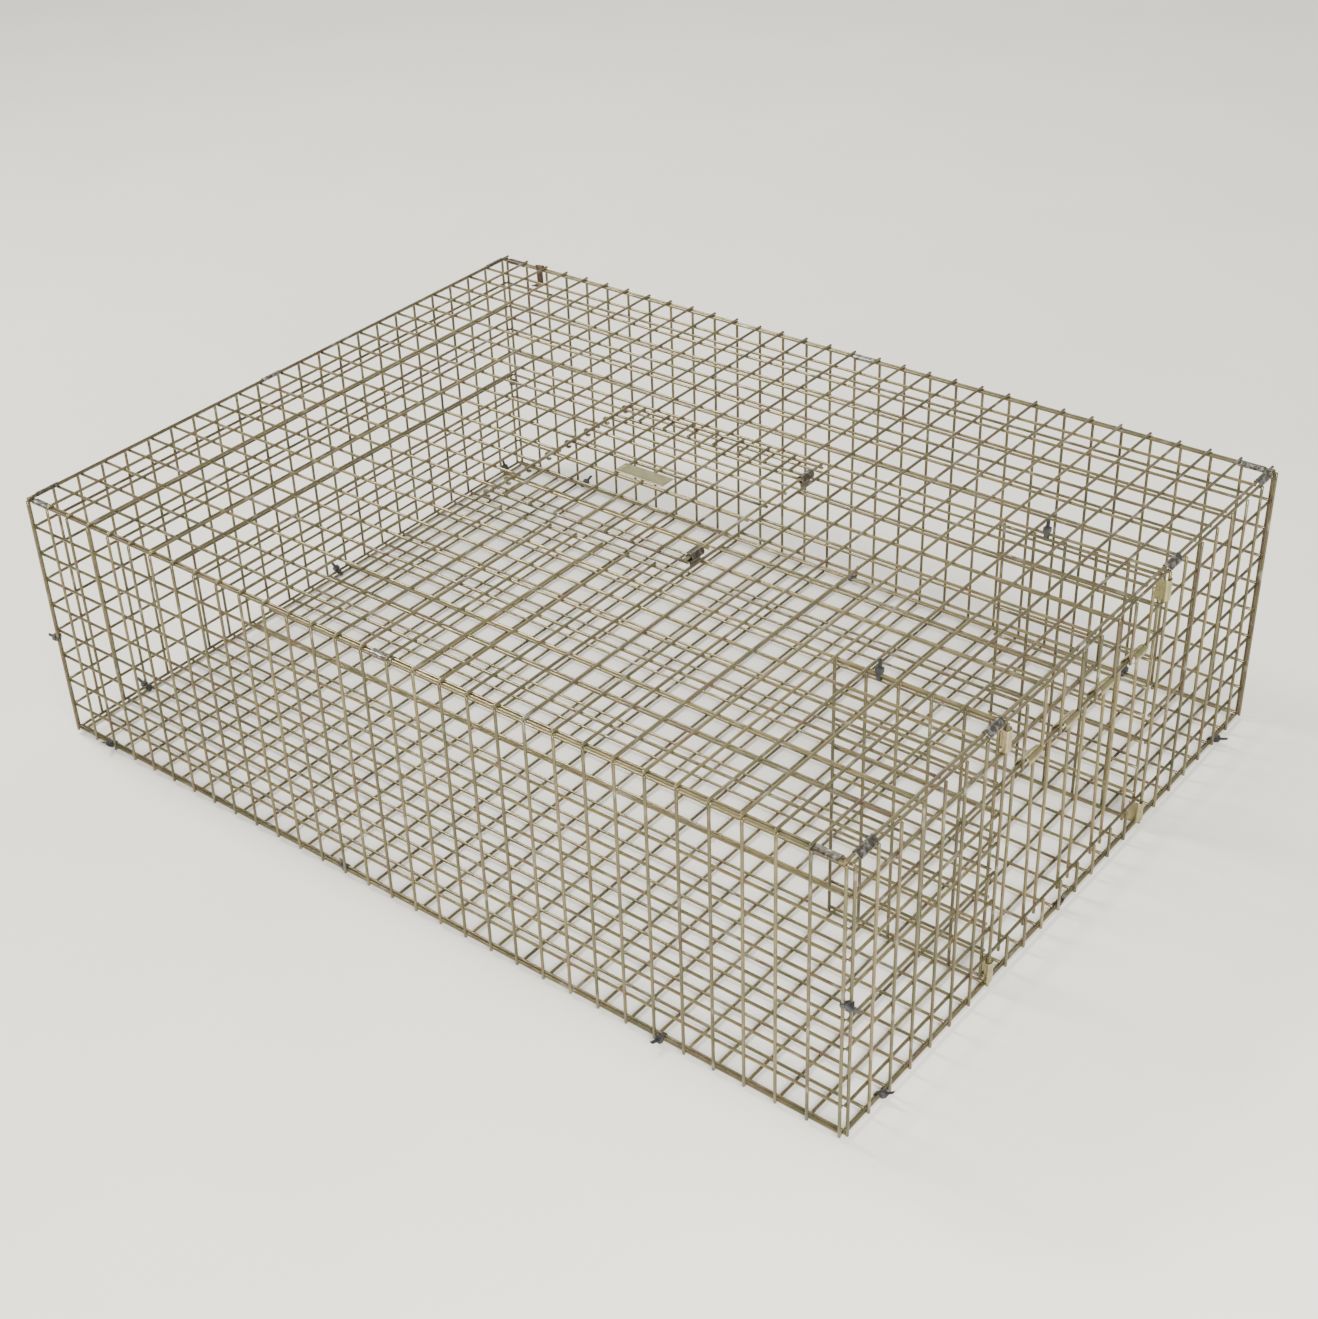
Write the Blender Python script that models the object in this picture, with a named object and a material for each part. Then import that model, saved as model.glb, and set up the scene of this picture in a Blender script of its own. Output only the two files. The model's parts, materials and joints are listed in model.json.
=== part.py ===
"""Folding crab trap: nine welded wire panels, four one-way gates, a roof door, sheet clips and cable ties.

Metres, +Z up. The entrance wall is at +X, the long walls at -Y and +Y, and the trap stands on z = 0.
Cells of the 25.4 mm mesh give every position: i runs along X, j along Y and k along Z, from the corner
of the left wall and the front wall at the floor. Each panel is a plate pierced by a coarser lattice.
"""

from math import cos, pi, radians, sin

import bpy
from mathutils import Vector

PITCH = 0.0254
CELLS = (31, 23, 9)
WIRE = 0.0023
HALF = WIRE / 2
MESH = 2 * WIRE
GAP = 0.0003
HINGE_GAP = 0.0026
STRAP_ROOM = 0.0010
SHEET = 0.0008
TIE_WIDTH = 0.0036
TIE_STRAP = 0.0011
TIE_REACH = 0.0039
STRAP_CORNERS = (0.0013, 0.0004)

LENGTH = CELLS[0] * PITCH
WIDTH = CELLS[1] * PITCH
HEIGHT = CELLS[2] * PITCH
LOW_WIRE = STRAP_ROOM + WIRE + HALF
TOP_WIRE = LOW_WIRE + HEIGHT
END_AXIS = LENGTH / 2 + WIRE + HINGE_GAP
LONG_AXIS = WIDTH / 2 + WIRE + HINGE_GAP
ROOF_TOP = TOP_WIRE - HALF + MESH
FLOOR_TOP = STRAP_ROOM + MESH
DOOR_MIDDLE = ROOF_TOP + GAP + MESH / 2

LINES_X = (0, 3, 6, 9, 12, 14.67, 17.33, 20, 22.75, 25.5, 28.25, 31)
LINES_Y = (0, 2.67, 5.33, 8, 9.9, 12.3, 15, 17.67, 20.33, 23)
LINES_Z = (0, 3, 6, 9)
ENTRANCE_Y = (0, 2.33, 4.67, 7, 9.75, 11.7, 13.85, 16, 18.33, 20.67, 23)
ENTRANCE_Z = (0, 1, 4, 7, 9)
ENTRANCE_HOLE = (7, 16, 1, 7)
ROOF_HOLE = (12, 20, 8, 15)

DOOR_EDGE_X = (12.26, 19.83)
DOOR_EDGE_Y = (8.45, 15.45)
KNUCKLES_J = (9.2, 11.5, 13.8)
LATCHES_J = (8.9, 14.62)
TAG_SPAN = (14.75, 16.65, 11.45, 12.05)
TAG_CORNER = 0.002
KNUCKLE_RADIUS = 0.0034
KNUCKLE_WIDTH = 0.005
KNUCKLE_SHEET = 0.0010
LATCH_RADIUS = 0.0033
LATCH_WIDTH = 0.0145
LATCH_TONGUE = 0.0098

GATES_J = (8.55, 10.55, 12.55, 14.55)
GATE_HANG = (-0.0060, -0.0050)
GATE_BEND = 0.004
GATE_STAND_OFF = 0.00195
GATE_TAB_CELLS = 0.74
TAB_BAR_RADIUS = 0.0033
TAB_HANG_RADIUS = 0.0019
GATE_SILL = 0.5
GATE_TOP_HALF = 0.55
GATE_FOOT_HALF = 0.70
TUNNEL_J = (7, 16)
TUNNEL_START = 26
TUNNEL_LOW_GAP = 0.0007
TUNNEL_HIGH_GAP = 0.0042
TUNNEL_LOW = FLOOR_TOP + TUNNEL_LOW_GAP + HALF
TUNNEL_HIGH = TOP_WIRE - WIRE - TUNNEL_HIGH_GAP
TUNNEL_TIE_I = 27.4
TUNNEL_TIE_STRAP = 0.0010
TUNNEL_CLIP_LEG = 0.0056
TUNNEL_CLIP_LAP = 0.0020
TUNNEL_CLIPS_K = ((0.12, 0.82), (8.1, 8.8))

FRONT_CLIPS_I = (0.52, 15.75, 30.48)
BACK_CLIPS_I = (0.52, 16.5, 30.48)
LEFT_CLIPS_J = (0.52, 10.5, 22.48)
ENTRANCE_CLIPS_J = (0.52, 6.5, 16.5, 22.48)
CLIP_LENGTH = 0.021
CLIP_FOOT = 0.0028
CLIP_LIP = 0.0021
CLIP_CURL = 0.0044

FRONT_TIES_I = (1.6, 12.86, 25.27)
BACK_TIES_I = (3.3, 16.2, 27.14)
LEFT_TIES_J = (2.85, 12.5, 22.3)
ENTRANCE_TIES_J = (1.6, 11.2, 21.4)
CORNER_TIES = (("front_left", 3.7), ("front_right", 4.6), ("back_left", 3.6))

HOOK_I = 1.75
HOOK_WIDTH = 0.010
HOOK_LIP = 0.004
HOOK_DROP = 0.015
HOOK_RADIUS = 0.004

COLOURS = {
    "gold_zinc_wire": ((0.42, 0.33, 0.13, 1), 0.35, 1.0),
    "gold_zinc_sheet": ((0.52, 0.46, 0.26, 1), 0.38, 1.0),
    "silver_zinc_sheet": ((0.62, 0.62, 0.60, 1), 0.38, 1.0),
    "black_nylon": ((0.02, 0.02, 0.02, 1), 0.45, 0.0),
    "rusty_steel": ((0.20, 0.09, 0.04, 1), 0.75, 0.3),
    "pale_gold_tag": ((0.70, 0.60, 0.36, 1), 0.35, 1.0),
}

FLAT = (0, 0, 0)
ACROSS_Y = (pi / 2, 0, 0)
ACROSS_X = (pi / 2, 0, pi / 2)


def x_at(i):
    return i * PITCH - LENGTH / 2


def y_at(j):
    return j * PITCH - WIDTH / 2


def z_at(k):
    return LOW_WIRE + k * PITCH


def clear_scene():
    for item in list(bpy.data.objects):
        bpy.data.objects.remove(item, do_unlink=True)


def make_collection(name):
    group = bpy.data.collections.new(name)
    bpy.context.scene.collection.children.link(group)
    return group


def make_materials():
    made = {}
    for name, (colour, roughness, metallic) in COLOURS.items():
        material = bpy.data.materials.new(name)
        material.use_nodes = True
        shader = material.node_tree.nodes["Principled BSDF"]
        shader.inputs["Base Color"].default_value = colour
        shader.inputs["Roughness"].default_value = roughness
        shader.inputs["Metallic"].default_value = metallic
        made[name] = material
    return made


def pivot(name, place, parent=None):
    """An empty on a joint's axis, at a world position, that carries one moving body."""
    empty = bpy.data.objects.new(name, None)
    empty.empty_display_size = 0.02
    PARTS.objects.link(empty)
    WORLD[name] = Vector(place)
    empty.location = WORLD[name] - (WORLD[parent.name] if parent else Vector())
    empty.parent = parent
    return empty


def curve_object(name, splines, material, body, place, turn, flat=True):
    """A curve from point lists. A flat one is filled, and any other becomes a tube."""
    data = bpy.data.curves.new(name, "CURVE")
    data.dimensions = "2D" if flat else "3D"
    for points in splines:
        spline = data.splines.new("POLY")
        spline.points.add(len(points) - 1)
        for point, target in zip(points, spline.points):
            target.co = (*point, 0, 1) if flat else (*point, 1)
        spline.use_cyclic_u = flat
    data.materials.append(MATERIALS[material])
    thing = bpy.data.objects.new(name, data)
    PARTS.objects.link(thing)
    thing.parent = body
    thing.location = Vector(place) - (WORLD[body.name] if body else Vector())
    thing.rotation_euler = turn
    return thing


def extruded(name, outlines, depth, material, body, place, turn):
    thing = curve_object(name, outlines, material, body, place, turn)
    thing.data.fill_mode = "BOTH"
    thing.data.extrude = depth / 2
    return thing


def wire(name, points, material, body):
    """A round wire through world positions."""
    origin = WORLD[body.name]
    local = [tuple(Vector(point) - origin) for point in points]
    thing = curve_object(name, [local], material, body, origin, FLAT, flat=False)
    thing.data.bevel_depth = HALF
    thing.data.bevel_resolution = 2
    thing.data.use_fill_caps = True
    return thing


def rectangle(left, right, low, high):
    return [(left, low), (right, low), (right, high), (left, high)]


def lattice(across, up, hole=None):
    """The outline of a grille with bars centred on the given lines, and the outline of each window.

    hole gives the first and last line of one large opening, across and up.
    """
    outlines = [rectangle(across[0] - HALF, across[-1] + HALF, up[0] - HALF, up[-1] + HALF)]
    for left, right in zip(across, across[1:]):
        for low, high in zip(up, up[1:]):
            middle = ((left + right) / 2, (low + high) / 2)
            if hole and hole[0] < middle[0] < hole[1] and hole[2] < middle[1] < hole[3]:
                continue
            outlines.append(rectangle(left + HALF, right - HALF, low + HALF, high - HALF))
    if hole:
        outlines.append(rectangle(hole[0] + HALF, hole[1] - HALF, hole[2] + HALF, hole[3] - HALF))
    return outlines


def arc(centre, radius, start, end, steps=8):
    """Points on an arc, from one angle in degrees to another."""
    angles = [radians(start + (end - start) * n / steps) for n in range(steps + 1)]
    return [(centre[0] + radius * cos(a), centre[1] + radius * sin(a)) for a in angles]


def strip(path, thickness):
    """The closed outline of a folded strip whose middle follows the path."""
    points = [Vector(point) for point in path]
    runs = [(b - a).normalized() for a, b in zip(points, points[1:])]
    sides = []
    for n, point in enumerate(points):
        before = runs[max(n - 1, 0)]
        after = runs[min(n, len(runs) - 1)]
        along = (before + after).normalized()
        reach = thickness / 2 / max(along.dot(after), 0.5)
        sides.append((point, Vector((-along.y, along.x)) * reach))
    left = [tuple(point + side) for point, side in sides]
    right = [tuple(point - side) for point, side in reversed(sides)]
    return left + right


def rounded_loop(left, right, low, high, radius):
    corners = ((right, high, 0), (left, high, 90), (left, low, 180), (right, low, 270))
    points = []
    for x, y, start in corners:
        middle = (
            x - radius if x == right else x + radius,
            y - radius if y == high else y + radius,
        )
        points += arc(middle, radius, start, start + 90, 2)
    return points


def ring(left, right, low, high, thickness):
    """The outer and inner outline of a strap round a rectangular bar, a gap away from it."""
    inner = (left - GAP, right + GAP, low - GAP, high + GAP)
    outer = (inner[0] - thickness, inner[1] + thickness, inner[2] - thickness, inner[3] + thickness)
    return [rounded_loop(*outer, STRAP_CORNERS[0]), rounded_loop(*inner, STRAP_CORNERS[1])]


def add_floor():
    across = [x_at(i) for i in LINES_X]
    up = [y_at(j) for j in LINES_Y]
    place = (0, 0, FLOOR_TOP / 2)
    extruded("floor_panel", lattice(across, up), FLOOR_TOP, "gold_zinc_wire", None, place, FLAT)


def bottom_tie_path():
    """Over the floor's edge bar and round the wall's bottom bar. Across is outwards from that bar."""
    inside = -(HALF + HINGE_GAP + WIRE + GAP + TIE_STRAP / 2)
    reach = TIE_REACH + GAP + TIE_STRAP / 2
    outer = arc((0, 0), reach, 90, 0, 5)
    return [(inside, GAP - LOW_WIRE), (inside, reach), *outer, (reach, GAP - LOW_WIRE)]


def edge_place(side, cell, height):
    """A point on the axis of one wall's edge wire, at a number of cells along it."""
    if side in ("front", "back"):
        return (x_at(cell), LONG_AXIS if side == "back" else -LONG_AXIS, height)
    return (-END_AXIS if side == "left" else END_AXIS, y_at(cell), height)


def add_edge_row(prefix, side, cells, outline, width, material, body, height):
    """Folded strips along one edge, from an outline whose first direction is outwards."""
    if side in ("front", "left"):
        outline = [(-a, b) for a, b in reversed(outline)]
    turn = ACROSS_X if side in ("front", "back") else ACROSS_Y
    for n, cell in enumerate(cells, 1):
        place = edge_place(side, cell, height)
        extruded(f"{prefix}_{n}", [outline], width, material, body, place, turn)


def add_bottom_ties():
    outline = strip(bottom_tie_path(), TIE_STRAP)
    for side, cells in (
        ("front", FRONT_TIES_I),
        ("back", BACK_TIES_I),
        ("left", LEFT_TIES_J),
        ("entrance", ENTRANCE_TIES_J),
    ):
        add_edge_row(f"tie_{side}", side, cells, outline, TIE_WIDTH, "black_nylon", None, LOW_WIRE)


def add_corner_tie(corner, body, k):
    """A strap round the last upright of a long wall."""
    bar_x = -LENGTH / 2 if "left" in corner else LENGTH / 2
    bar_y = (LONG_AXIS + HALF) * (1 if "back" in corner else -1)
    outlines = ring(bar_x - HALF, bar_x + HALF, bar_y - WIRE, bar_y + WIRE, TIE_STRAP)
    name = f"corner_tie_{corner}"
    extruded(name, outlines, TIE_WIDTH, "black_nylon", body, (0, 0, z_at(k)), FLAT)


def add_long_wall(name, side):
    body = pivot(name + "_wall", (0, side * LONG_AXIS, LOW_WIRE))
    across = [x_at(i) for i in LINES_X]
    up = [z_at(k) for k in LINES_Z]
    place = (0, side * (LONG_AXIS + HALF), 0)
    extruded(name + "_panel", lattice(across, up), MESH, "gold_zinc_wire", body, place, ACROSS_Y)
    return body


def add_left_wall():
    body = pivot("left_wall", (-END_AXIS, 0, LOW_WIRE))
    across = [y_at(j) for j in LINES_Y]
    up = [z_at(k) for k in LINES_Z]
    place = (-END_AXIS - HALF, 0, 0)
    extruded("left_panel", lattice(across, up), MESH, "gold_zinc_wire", body, place, ACROSS_X)


def add_entrance_wall():
    body = pivot("entrance_wall", (END_AXIS, 0, LOW_WIRE))
    across = [y_at(j) for j in ENTRANCE_Y]
    up = [z_at(k) for k in ENTRANCE_Z]
    hole = [y_at(v) for v in ENTRANCE_HOLE[:2]] + [z_at(v) for v in ENTRANCE_HOLE[2:]]
    place = (END_AXIS + HALF, 0, 0)
    extruded(
        "entrance_panel", lattice(across, up, hole), MESH, "gold_zinc_wire", body, place, ACROSS_X
    )
    return body


def add_tunnel_clips(entrance):
    """Strips folded round the uprights beside the entrance, with a leg along the tunnel side."""
    face = END_AXIS + 3 * HALF + GAP + SHEET / 2
    number = 0
    for j in TUNNEL_J:
        side = 1 if j > CELLS[1] / 2 else -1
        near = y_at(j) - side * (WIRE + 2 * GAP + SHEET / 2)
        far = y_at(j) + side * (HALF + TUNNEL_CLIP_LAP)
        path = [(END_AXIS, far), (face, far), (face, near), (END_AXIS - TUNNEL_CLIP_LEG, near)]
        for low, high in TUNNEL_CLIPS_K:
            number += 1
            place = (0, 0, z_at((low + high) / 2))
            extruded(
                f"tunnel_clip_{number}",
                [strip(path, SHEET)],
                (high - low) * PITCH,
                "gold_zinc_sheet",
                entrance,
                place,
                FLAT,
            )


def add_tunnel_sides(entrance):
    axis = END_AXIS - HALF - MESH / 2 - 2 * GAP
    across = [x_at(TUNNEL_START), (x_at(TUNNEL_START) + axis) / 2, axis]
    up = [TUNNEL_LOW + (TUNNEL_HIGH - TUNNEL_LOW) * n / 3 for n in range(4)]
    for name, j in zip(("front", "back"), TUNNEL_J):
        body = pivot(f"tunnel_{name}", (axis, y_at(j), LOW_WIRE), entrance)
        place = (0, y_at(j), 0)
        extruded(
            f"tunnel_side_{name}", lattice(across, up), MESH, "gold_zinc_wire", body, place, ACROSS_Y
        )
        across_bar = (y_at(j) - WIRE, y_at(j) + WIRE, TUNNEL_HIGH - HALF, TUNNEL_HIGH + HALF)
        strap = ring(*across_bar, TUNNEL_TIE_STRAP)
        place = (x_at(TUNNEL_TIE_I), 0, 0)
        extruded(f"tunnel_tie_{name}", strap, TIE_WIDTH, "black_nylon", body, place, ACROSS_X)


def tab_path():
    """From round the entrance's top bar, inwards and down, to round the top of the gate's wire."""
    bar = arc((0, 0), TAB_BAR_RADIUS, -50, 140, 8)
    return bar + arc(GATE_HANG, TAB_HANG_RADIUS, 140, 285, 5)


def add_gates(entrance):
    outline = [strip(tab_path(), SHEET)]
    hinge = (END_AXIS + HALF, z_at(7))
    top = (hinge[0] + GATE_HANG[0], hinge[1] + GATE_HANG[1])
    foot = (END_AXIS - HALF - GATE_STAND_OFF, z_at(GATE_SILL))
    half_top = GATE_TOP_HALF * PITCH
    half_foot = GATE_FOOT_HALF * PITCH
    shoulder = (-half_top + GATE_BEND, top[1] - GATE_BEND)
    corner = arc(shoulder, GATE_BEND, 180, 90, 4)
    left = [(foot[0], -half_foot, foot[1])] + [(top[0], y, z) for y, z in corner]
    points = left + [(x, -y, z) for x, y, z in reversed(left)]
    width = GATE_TAB_CELLS * PITCH
    for n, j in enumerate(GATES_J, 1):
        body = pivot(f"gate_{n}", (hinge[0], y_at(j), hinge[1]), entrance)
        place = (hinge[0], y_at(j), hinge[1])
        extruded(f"gate_{n}_tab", outline, width, "gold_zinc_sheet", body, place, ACROSS_Y)
        wire(f"gate_{n}_wire", [(x, y + y_at(j), z) for x, y, z in points], "gold_zinc_wire", body)


def add_roof(entrance):
    body = pivot("roof", (END_AXIS, 0, TOP_WIRE), entrance)
    across = [x_at(i) for i in LINES_X]
    up = [y_at(j) for j in LINES_Y]
    hole = [x_at(v) for v in ROOF_HOLE[:2]] + [y_at(v) for v in ROOF_HOLE[2:]]
    place = (0, 0, TOP_WIRE + HALF)
    extruded("roof_panel", lattice(across, up, hole), MESH, "gold_zinc_wire", body, place, FLAT)
    return body


def cap_clip_path():
    """Hooked round the roof's edge bar and lapped over the wall's top bar. Across is outwards."""
    under = -HALF - GAP - SHEET / 2
    over = ROOF_TOP - TOP_WIRE + GAP + SHEET / 2
    inside = -(HALF + HINGE_GAP + WIRE + GAP + SHEET / 2)
    lip = 3 * HALF + GAP + SHEET / 2
    foot = (inside + CLIP_FOOT, under)
    return [foot, (inside, under), (inside, over), (lip, over), (lip, over - CLIP_LIP)]


def hinge_clip_path():
    """Hooked round the roof's edge bar and curled round the entrance wall's top bar, the hinge axis."""
    under = -HALF - GAP - SHEET / 2
    inside = -(HALF + HINGE_GAP + WIRE + GAP + SHEET / 2)
    start = [(inside + CLIP_FOOT, under), (inside, under), (inside, CLIP_CURL)]
    return start + arc((0, 0), CLIP_CURL, 90, -100, 9)


def add_roof_clips(roof):
    cap = strip(cap_clip_path(), SHEET)
    hinge = strip(hinge_clip_path(), SHEET)
    for prefix, side, cells, outline in (
        ("roof_clip_front", "front", FRONT_CLIPS_I, cap),
        ("roof_clip_back", "back", BACK_CLIPS_I, cap),
        ("roof_clip_left", "left", LEFT_CLIPS_J, cap),
        ("roof_hinge_clip", "entrance", ENTRANCE_CLIPS_J, hinge),
    ):
        add_edge_row(prefix, side, cells, outline, CLIP_LENGTH, "silver_zinc_sheet", roof, TOP_WIRE)


def add_spare_hook(roof):
    """A rusty strip hooked over the roof's back edge bar, hanging inside."""
    outside = WIDTH / 2 + HALF + GAP + SHEET / 2
    inside = WIDTH / 2 - HALF - GAP - SHEET / 2
    over = ROOF_TOP + GAP + SHEET / 2
    low = over - HOOK_DROP
    path = [(outside, over - HOOK_LIP), (outside, over), (inside, over), (inside, low)]
    path += arc((inside - HOOK_RADIUS, low), HOOK_RADIUS, 0, -140, 5)[1:]
    outline = [strip(path, SHEET)]
    place = (x_at(HOOK_I), 0, 0)
    extruded("spare_hook", outline, HOOK_WIDTH, "rusty_steel", roof, place, ACROSS_X)


def add_door(roof):
    hinge = (x_at(12), TOP_WIRE + HALF)
    body = pivot("door", (hinge[0], 0, hinge[1]), roof)
    left, right = (x_at(i) for i in DOOR_EDGE_X)
    front, back = (y_at(j) for j in DOOR_EDGE_Y)
    across = [left + (right - left) * n / 3 for n in range(4)]
    up = [front + (back - front) * n / 3 for n in range(4)]
    place = (0, 0, DOOR_MIDDLE)
    extruded("door_panel", lattice(across, up), MESH, "gold_zinc_wire", body, place, FLAT)
    tail = (left - HALF - GAP - hinge[0], DOOR_MIDDLE - hinge[1])
    curl = strip(arc((0, 0), KNUCKLE_RADIUS, -30, -305, 10) + [tail], KNUCKLE_SHEET)
    for n, j in enumerate(KNUCKLES_J, 1):
        place = (hinge[0], y_at(j), hinge[1])
        name = f"door_knuckle_{n}"
        extruded(name, [curl], KNUCKLE_WIDTH, "gold_zinc_wire", body, place, ACROSS_Y)
    return body


def add_tag(door):
    left, right = (x_at(i) for i in TAG_SPAN[:2])
    front, back = (y_at(j) for j in TAG_SPAN[2:])
    height = DOOR_MIDDLE + MESH / 2 + GAP + SHEET / 2
    outline = rounded_loop(left, right, front, back, TAG_CORNER)
    extruded("tag_plate", [outline], SHEET, "pale_gold_tag", door, (0, 0, height), FLAT)


def add_latches(door):
    """Sheet tongues curled round the door's free edge, reaching down behind the roof's edge wire."""
    edge = x_at(DOOR_EDGE_X[1])
    outline = strip(arc((0, 0), LATCH_RADIUS, -50, 270, 12) + [(0, -LATCH_TONGUE)], SHEET)
    for name, j in zip(("front", "back"), LATCHES_J):
        place = (edge, y_at(j), DOOR_MIDDLE)
        body = pivot(f"latch_{name}_body", place, door)
        extruded(
            f"latch_{name}", [outline], LATCH_WIDTH, "silver_zinc_sheet", body, place, ACROSS_Y
        )


WORLD = {}
clear_scene()
PARTS = make_collection("folding_crab_trap")
MATERIALS = make_materials()

add_floor()
add_bottom_ties()
LONG_WALLS = {"front": add_long_wall("front", -1), "back": add_long_wall("back", 1)}
for corner, height in CORNER_TIES:
    add_corner_tie(corner, LONG_WALLS[corner.split("_")[0]], height)
add_left_wall()
ENTRANCE = add_entrance_wall()
add_tunnel_clips(ENTRANCE)
add_tunnel_sides(ENTRANCE)
add_gates(ENTRANCE)
ROOF = add_roof(ENTRANCE)
add_roof_clips(ROOF)
add_spare_hook(ROOF)
DOOR = add_door(ROOF)
add_tag(DOOR)
add_latches(DOOR)
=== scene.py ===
"""Folding crab trap: the looks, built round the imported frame.

Each panel of the frame is replaced by its real mesh of crossed round wires, 25.4 mm apart, with a weld at
every crossing. Clips, tabs, latches and cable ties get their folded and moulded shapes. Metres, +Z up.
"""

import json
from math import cos, pi, radians, sin

import bmesh
import bpy
import numpy as np
from mathutils import Matrix, Quaternion, Vector


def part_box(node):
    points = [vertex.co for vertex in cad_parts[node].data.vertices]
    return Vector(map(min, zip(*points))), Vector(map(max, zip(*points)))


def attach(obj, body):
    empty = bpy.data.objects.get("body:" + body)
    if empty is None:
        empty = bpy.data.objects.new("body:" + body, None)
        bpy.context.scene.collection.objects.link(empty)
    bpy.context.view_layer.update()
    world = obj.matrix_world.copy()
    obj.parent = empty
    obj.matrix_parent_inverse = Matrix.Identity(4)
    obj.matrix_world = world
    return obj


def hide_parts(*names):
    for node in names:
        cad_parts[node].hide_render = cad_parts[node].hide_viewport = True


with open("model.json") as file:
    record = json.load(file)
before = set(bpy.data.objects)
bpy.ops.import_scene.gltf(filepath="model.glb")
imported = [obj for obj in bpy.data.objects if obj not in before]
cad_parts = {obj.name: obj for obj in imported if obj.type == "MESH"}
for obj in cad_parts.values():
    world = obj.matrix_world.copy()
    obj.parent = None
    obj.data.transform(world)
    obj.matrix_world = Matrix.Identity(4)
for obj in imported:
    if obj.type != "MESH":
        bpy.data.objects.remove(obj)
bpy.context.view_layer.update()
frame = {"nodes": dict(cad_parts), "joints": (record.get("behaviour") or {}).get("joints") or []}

RNG = np.random.default_rng(7)
JOINTS = {joint["name"]: joint for joint in frame["joints"]}
X_DIR, Y_DIR, Z_DIR = (1, 0, 0), (0, 1, 0), (0, 0, 1)

# The CAD's wire is WIRE thick. The visible one is TUBE in radius, a little thicker, and its two layers are
# LAYER apart, so that crossing wires sink into each other at their welds.
WIRE = 0.0023
R = WIRE / 2
TUBE = 0.00125
LAYER = 0.0023
SIDES = 10
CELLS_X, CELLS_Y, CELLS_Z = 31, 23, 9

# The spread of tones, from dark 0 to light 1, of the wires along X and of the others. Along X the tones are
# lighter, a painted highlight, and across they are darker, painted shade; within each spread the tone is
# random.
PAINTED_LIT_TONES_ALONG_X = (0.45, 1.0)
PAINTED_SHADE_TONES_ACROSS = (0.05, 0.70)
WELD_TONE = 0.62
WELD_SIZES = (0.85, 1.05)

# How far the cut ends of the wires reach past the last wire that they are welded to.
END = 0.0006
STUB_LONG = 0.0014
STUB_END = 0.0012
STUB_TOP = 0.0003
HOLE_STUB = 0.0016
DOOR_STUB = 0.0020
ROOF_PAST_WALL = 0.0026

# The floor's and the roof's edge wires lie NEXT_WIRE inside the walls' wires. The walls are wider than the
# floor by WALL_OVERHANG at each end, and the tops of the tunnel sides are TUNNEL_DROP under the roof.
NEXT_WIRE = 0.0029
WALL_OVERHANG = 0.0014
TUNNEL_DROP = 0.0036

# The door lies over these wires of the roof, and the entrance between these of its wall.
DOOR_I, DOOR_J = (12, 20), (8, 15)
ENTRANCE_J, ENTRANCE_K = (7, 16), (1, 7)
TUNNEL_CELLS = 5
TUNNEL_J = {"front": 7, "back": 16}

# Folded sheet. HUG is from a wire's axis to the middle line of the sheet rolled round it, with a hair of
# air between, and SKIN from a face of the CAD's box to the middle line of the sheet that fills it.
SNUG = 0.0001
SHEET, THICK_SHEET, HOOK_SHEET = 0.0006, 0.0007, 0.0008
HUG = TUBE + SNUG + SHEET / 2
SKIN = 0.0004
STRIP_ROWS = 7
STRIP_BEVEL = 0.0002

# At the two ends of the roof its edge wire lies one layer up, and a clip climbs to it at this angle.
CLIMB = 48

# Tarnish and rust, from 0 to 1, of the latches, of most clips and of the clips that the photo shows worse.
LATCH_WEAR = 0.8
MILD_WEAR = 0.4
CLIP_WEAR = {("back", 1): 1.0, ("left", 3): 0.9, ("left", 1): 0.7, ("front", 3): 0.65, ("hinge", 1): 0.6}

# Cable ties. The parts of a tie are placed outwards from the middle line of its strap.
TIE_WIDTH, TIE_STRAP = 0.0030, 0.0008
TIE_HUG = TUBE + SNUG + TIE_STRAP / 2
TIE_BEVEL = 0.00018
HEAD, HEAD_AT = (0.0040, 0.0052, 0.0046), 0.0016
LIP, LIP_AT = (0.0008, 0.0042, 0.0036), 0.0038
TAIL_FROM = 0.0036
TOOTH, TEETH_FROM, TOOTH_PITCH = (0.0005, TIE_WIDTH * 0.62, 0.00035), 0.0050, 0.0011

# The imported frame's measures: the axes of its outer wires, the pitch of the visible ones and their places.
FRONT_LOW, FRONT_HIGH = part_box("front_panel")
ENTRANCE_LOW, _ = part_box("entrance_panel")
LOW_Z = FRONT_LOW.z + R
TOP_Z = FRONT_HIGH.z - R
END_X = ENTRANCE_LOW.x + R
LONG_Y = -FRONT_HIGH.y + R
HALF_X = END_X - NEXT_WIRE
HALF_Y = LONG_Y - NEXT_WIRE
PITCH_X = 2 * HALF_X / CELLS_X
PITCH_Y = 2 * HALF_Y / CELLS_Y
PITCH = (TOP_Z - LOW_Z) / CELLS_Z
XS = [i * PITCH_X - HALF_X for i in range(CELLS_X + 1)]
YS = [j * PITCH_Y - HALF_Y for j in range(CELLS_Y + 1)]
ZS = [LOW_Z + k * PITCH for k in range(CELLS_Z + 1)]
WALL_XS = [x * (1 + WALL_OVERHANG / HALF_X) for x in XS]
WALL_YS = [y * (1 + WALL_OVERHANG / HALF_Y) for y in YS]


def add_object(name, data):
    """A new object in the scene with the given mesh, light or camera."""
    piece = bpy.data.objects.new(name, data)
    bpy.context.scene.collection.objects.link(piece)
    return piece


# ---------------------------------------------------------------- materials


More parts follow.
